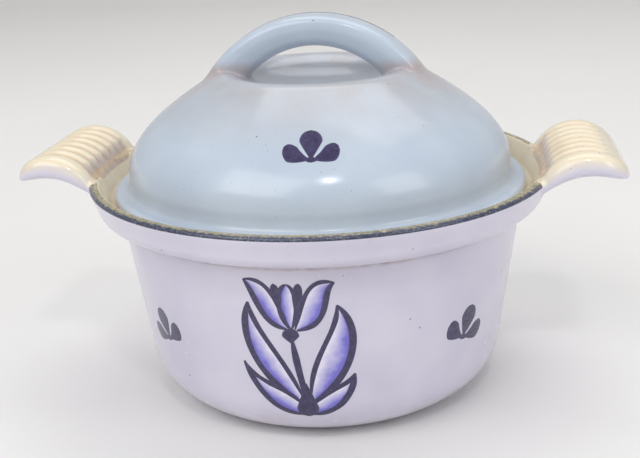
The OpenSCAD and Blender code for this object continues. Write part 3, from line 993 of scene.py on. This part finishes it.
def foot_tone_and_groove_shade(f, colour):
    """Painted shade in the groove under the collar, and a darker, warmer tone low on the wall."""
    z = f.add("ShaderNodeSeparateXYZ", {"Vector": f.place}).outputs["Z"]
    # Darker and warmer towards the foot.
    low = f.sum(f.band(z, 0.002, 0.016, 1, 0), f.band(f.grain(9, 4), 0.4, 0.7), "MULTIPLY")
    # Painted shade: a dark band in the groove under the collar.
    groove = f.sum(f.band(z, (groove_z - 1.5) * MM, groove_z * MM),
                   f.band(z, (groove_z + 1.6) * MM, (groove_z + 3) * MM, 1, 0), "MULTIPLY")
    patchy = f.sum(groove, f.band(f.grain(5, 4), 0.35, 0.7, 0.25, 0.8), "MULTIPLY")
    tone_and_shade = f.sum(patchy, f.sum(low, 0.4, "MULTIPLY"), "MAXIMUM")
    return f.blend(tone_and_shade, colour, tint(150, 128, 118))


def lug_flute_shade(f, colour):
    """Cream glass with painted tan shade in the flutes and at the root, and the wall's white on the faces
    that turn down.
    """
    mottle = f.band(f.grain(5, 4), 0.3, 0.75, 0.55, 1.0)
    # Painted shade, deepest in the flutes and at the root of the lug.
    deep = f.sum(f.sum(f.mark("hollow"), 0.95, "MULTIPLY"),
                 f.sum(f.mark("root"), 0.6, "MULTIPLY"), "MAXIMUM")
    colour = f.blend(f.sum(deep, mottle, "MULTIPLY"), colour, tan)
    return f.blend(f.mark("under"), colour, wall_white)


def crown_and_bridge_foot_tone(f, colour):
    """Greyer over the crown and in the well, and browner towards the feet of the bridge."""
    z = f.add("ShaderNodeSeparateXYZ", {"Vector": f.place}).outputs["Z"]
    crown = f.sum(f.band(z, (crown_z - 22) * MM, (crown_z - 3) * MM),
                  f.band(z, (crown_z + 1) * MM, (crown_z + 5) * MM, 1, 0), "MULTIPLY")
    crown_grey = f.sum(crown, f.band(f.grain(16, 4), 0.3, 0.7, 0.35, 0.75), "MULTIPLY")
    colour = f.blend(crown_grey, colour, tint(172, 166, 166))
    share = f.sum(f.sum(f.mark("bridge_foot"), crown, "MULTIPLY"),
                  f.band(f.grain(8, 4), 0.3, 0.7, 0.35, 1), "MULTIPLY")
    return f.blend(f.sum(share, 0.7, "MULTIPLY"), colour, tint(176, 152, 148))


def lining_seat_shade(f, colour):
    """The lining is cream, with a patchy painted tan-grey shade from the seat up to the rim, in the gap
    beside the lid.
    """
    share = f.sum(f.mark("seat"), f.band(f.grain(8, 3), 0.35, 0.7, 0.3, 0.6), "MULTIPLY")
    return f.blend(share, colour, tint(212, 196, 168))


# The extras paint shade into the colour in the groove under the collar, in the lugs' flutes and roots, and on
# the lining beside the lid.
enamels = {
    "wall": enamel("wall_enamel_glass", wall_white, wall_cloud, speck, extra=foot_tone_and_groove_shade),
    "lid": enamel("lid_enamel_glass", lid_blue, lid_cloud, speck, extra=crown_and_bridge_foot_tone),
    "lug": enamel("cream_lug_glass", cream, cream_cloud, speck, gloss=(0.12, 0.26), extra=lug_flute_shade),
    "pot lining": enamel("cream_lining_glass", cream, cream_cloud, speck,
                         gloss=(0.12, 0.3), extra=lining_seat_shade),
    "lid lining": enamel("pale_lining_glass", tint(216, 214, 214), tint(204, 202, 204), speck,
                         gloss=(0.12, 0.28))}
for thing, key in ((pot_enamel, "wall"), (lid_enamel, "lid"), (right_lug, "lug"), (left_lug, "lug"),
                   (pot_lining, "pot lining"), (lid_lining, "lid lining")):
    thing.data.materials.append(enamels[key])

# %% [markdown]
# Fired paint is also glass, so it shines like the coat, but a brush leaves it uneven:
# full and dark in the middle of a stroke, thin and bluer along its edges, streaked along its length.

# %% Fired paint
def painted(name, full, thin, edge_share):
    """Paint that is full in the middle of a stroke and thin at both its edges."""
    f = Finish(name)
    across = f.band(f.mark("wash"), 0, 1, -1, 1)
    from_middle = f.add("ShaderNodeMath", {0: across}, operation="ABSOLUTE").outputs[0]
    edge = f.band(from_middle, 0.55, 1.0, 0, edge_share)
    streak = f.band(f.grain(2.2, 4, 0.65, 0.8), 0.42, 0.72)
    colour = f.blend(f.sum(f.sum(streak, 0.5, "MULTIPLY"), edge, "MAXIMUM"), full, thin)
    rough = f.band(f.grain(3, 3), 0.3, 0.7, 0.12, 0.28)
    return f.done(colour, rough, f.relief(f.grain(1.4, 3), 0.012),
                  IOR=1.52, Coat_Weight=0.3, Coat_Roughness=0.05)


def washed(name):
    """A thin wash, deep at one side of a petal and fading to the white under it at the other."""
    f = Finish(name)
    ragged = f.sum(f.mark("wash"), f.band(f.grain(5, 3), 0.25, 0.75, -0.12, 0.12))
    share = f.band(ragged, 0.25, 0.85, 1, 0)
    colour = f.blend(share, tint(226, 222, 238), tint(118, 112, 204))
    deep = f.sum(f.band(ragged, 0.1, 0.4, 1, 0), f.band(f.grain(9, 2), 0.35, 0.65), "MULTIPLY")
    colour = f.blend(f.sum(deep, 0.6, "MULTIPLY"), colour, tint(88, 80, 176))
    rough = f.band(f.grain(4, 3), 0.3, 0.7, 0.1, 0.24)
    return f.done(colour, rough, f.relief(f.grain(1.6, 3), 0.01),
                  IOR=1.52, Coat_Weight=0.3, Coat_Roughness=0.05)


navy = painted("navy_fired_paint", tint(48, 41, 76), tint(84, 80, 124), 0.45)
for thing in (flower_outline, wall_sprigs, lid_sprig, bridge_line):
    thing.data.materials.append(navy)
flower_fill.data.materials.append(washed("violet_wash_paint"))

# %% [markdown]
# The rim's line was brushed over the corner of the collar. Outside it is a full dark navy.
# Inside, towards the lid, the glass has worn and browned to a speckled tan with a green-gold cast.

# %% The rim's line
f = Finish("rim_navy_and_tan")
ragged = f.sum(f.mark("inward"), f.band(f.grain(2.2, 5, 0.7), 0.25, 0.75, -0.28, 0.28))
gold = f.blend(f.band(f.grain(3.5, 4), 0.36, 0.64), tint(178, 166, 134), tint(132, 128, 92))
gold = f.blend(f.sum(f.band(f.grain(0.9, 3), 0.55, 0.66), 0.7, "MULTIPLY"), gold, tint(86, 86, 82))
dark = f.blend(f.band(f.grain(1.2, 4), 0.5, 0.7), tint(56, 60, 84), tint(96, 104, 122))
dark = f.blend(f.sum(f.band(f.grain(0.8, 3), 0.62, 0.7), 0.6, "MULTIPLY"), dark, tint(176, 168, 142))
rim_colour = f.blend(f.band(ragged, 0.36, 0.6), dark, gold)
rim_rough = f.band(f.grain(2, 4), 0.3, 0.7, 0.14, 0.42)
rim_finish = f.done(rim_colour, rim_rough, f.relief(f.grain(0.9, 4), 0.03),
                    IOR=1.52, Coat_Weight=0.2, Coat_Roughness=0.1)
rim_line.data.materials.append(rim_finish)

# %% [markdown]
# Bare cast iron at the foot ring is dark grey with sand grain, and brown where damp has got at it.

# %% Cast iron
f = Finish("sand_cast_iron")
iron = f.blend(f.band(f.grain(2.5, 4), 0.35, 0.7), tint(62, 60, 60), tint(92, 88, 85))
iron = f.blend(f.band(f.grain(6, 5, 0.65), 0.52, 0.66), iron, tint(110, 72, 48))
sand = f.relief(f.grain(0.7, 4, 0.7), 0.09, f.relief(f.grain(4, 2), 0.12))
iron_finish = f.done(iron, f.band(f.grain(3, 4), 0.3, 0.7, 0.42, 0.75), sand, Metallic=0.75)
for thing in (pot_casting, lid_casting):
    thing.data.materials.append(iron_finish)
print("finishes:", sorted(m.name for m in bpy.data.materials if m.users))

# %% [markdown]
# ## Floor, light and camera
# A wide pale floor takes the shadow. Soft boxes stand in for daylight and a lamp,
# and give the glass something long and bright to mirror.

# %% Floor and backdrop
def plain_grid(name, points, faces):
    mesh = bpy.data.meshes.new(name)
    mesh.from_pydata(points, [], faces)
    thing = bpy.data.objects.new(name, mesh)
    bpy.context.scene.collection.objects.link(thing)
    return thing


floor_front, sweep_depth, sweep_half, bend_r, wall_top = -3.0, 1.6, 3.0, 0.9, 3.2
bend = [(sweep_depth + bend_r * np.sin(a), bend_r * (1 - np.cos(a))) for a in np.linspace(0, np.pi / 2, 16)]
profile = [(floor_front, 0.0)] + bend + [(sweep_depth + bend_r, wall_top)]
ground = plain_grid("studio_floor", [(x, y, z) for y, z in profile for x in (-sweep_half, sweep_half)],
                    [(2 * i, 2 * i + 1, 2 * i + 3, 2 * i + 2) for i in range(len(profile) - 1)])
ground.data.shade_smooth()
f = Finish("pale_floor")
floor_colour = f.blend(f.band(f.grain(400, 2), 0.3, 0.7), tint(236, 235, 234), tint(232, 231, 230))
floor_rough = f.band(f.grain(60, 2), 0.3, 0.7, 0.55, 0.65)
ground.data.materials.append(f.done(floor_colour, floor_rough, f.relief(f.grain(2, 2), 0.01)))

# %% [markdown]
# The camera stands in front and a little to the right, and looks slightly down, as one looks at a pot
# on a table. Its place, turn, tilt and lean are set one after the other, so each can be changed alone.

# %% Camera
camera_data = bpy.data.cameras.new("camera")
camera_data.lens, camera_data.sensor_width = 58.1, 36
camera = bpy.data.objects.new("camera", camera_data)
camera_place, turn_left, look_down, lean_right = (0.0676, -0.4530, 0.2241), 8.64, 18.7, -2.6
camera.matrix_world = (Matrix.Translation(camera_place)
                       @ Matrix.Rotation(np.radians(turn_left), 4, "Z")
                       @ Matrix.Rotation(np.radians(90 - look_down), 4, "X")
                       @ Matrix.Rotation(np.radians(lean_right), 4, "Z"))
bpy.context.scene.collection.objects.link(camera)
bpy.context.scene.camera = camera

# %% [markdown]
# Four soft boxes: a broad one high on the left front, a smaller one on the right, a long one overhead
# and behind, and a very small one in front that puts a sharp glint on the glass.

# %% Lights
def soft_box(name, place, aim, size, power):
    data = bpy.data.lights.new(name, "AREA")
    data.shape, data.energy = "RECTANGLE", power
    data.size, data.size_y = size
    lamp = bpy.data.objects.new(name, data)
    lamp.location = place
    lamp.rotation_euler = (Vector(aim) - Vector(place)).to_track_quat("-Z", "Y").to_euler()
    bpy.context.scene.collection.objects.link(lamp)


target = (0, 0, 0.08)
soft_box("key_box", (-0.9, -1.3, 1.5), target, (1.5, 1.2), 17)
soft_box("side_box", (1.5, -0.9, 1.1), target, (0.9, 1.0), 7)
soft_box("top_box", (0.1, 0.6, 1.6), target, (1.6, 0.9), 9)
soft_box("glint_box", (0.2, -0.75, 1.05), target, (0.12, 0.08), 1.6)
world = bpy.data.worlds.new("soft_room")
world.use_nodes = True
sky = world.node_tree.nodes["Background"].inputs
sky["Color"].default_value, sky["Strength"].default_value = (1, 1, 1, 1), 0.5
bpy.context.scene.world = world
bpy.context.scene.view_settings.view_transform = "Standard"

# %% [markdown]
# Last, the scene is brought up to date.

# %% Finish
bpy.context.view_layer.update()
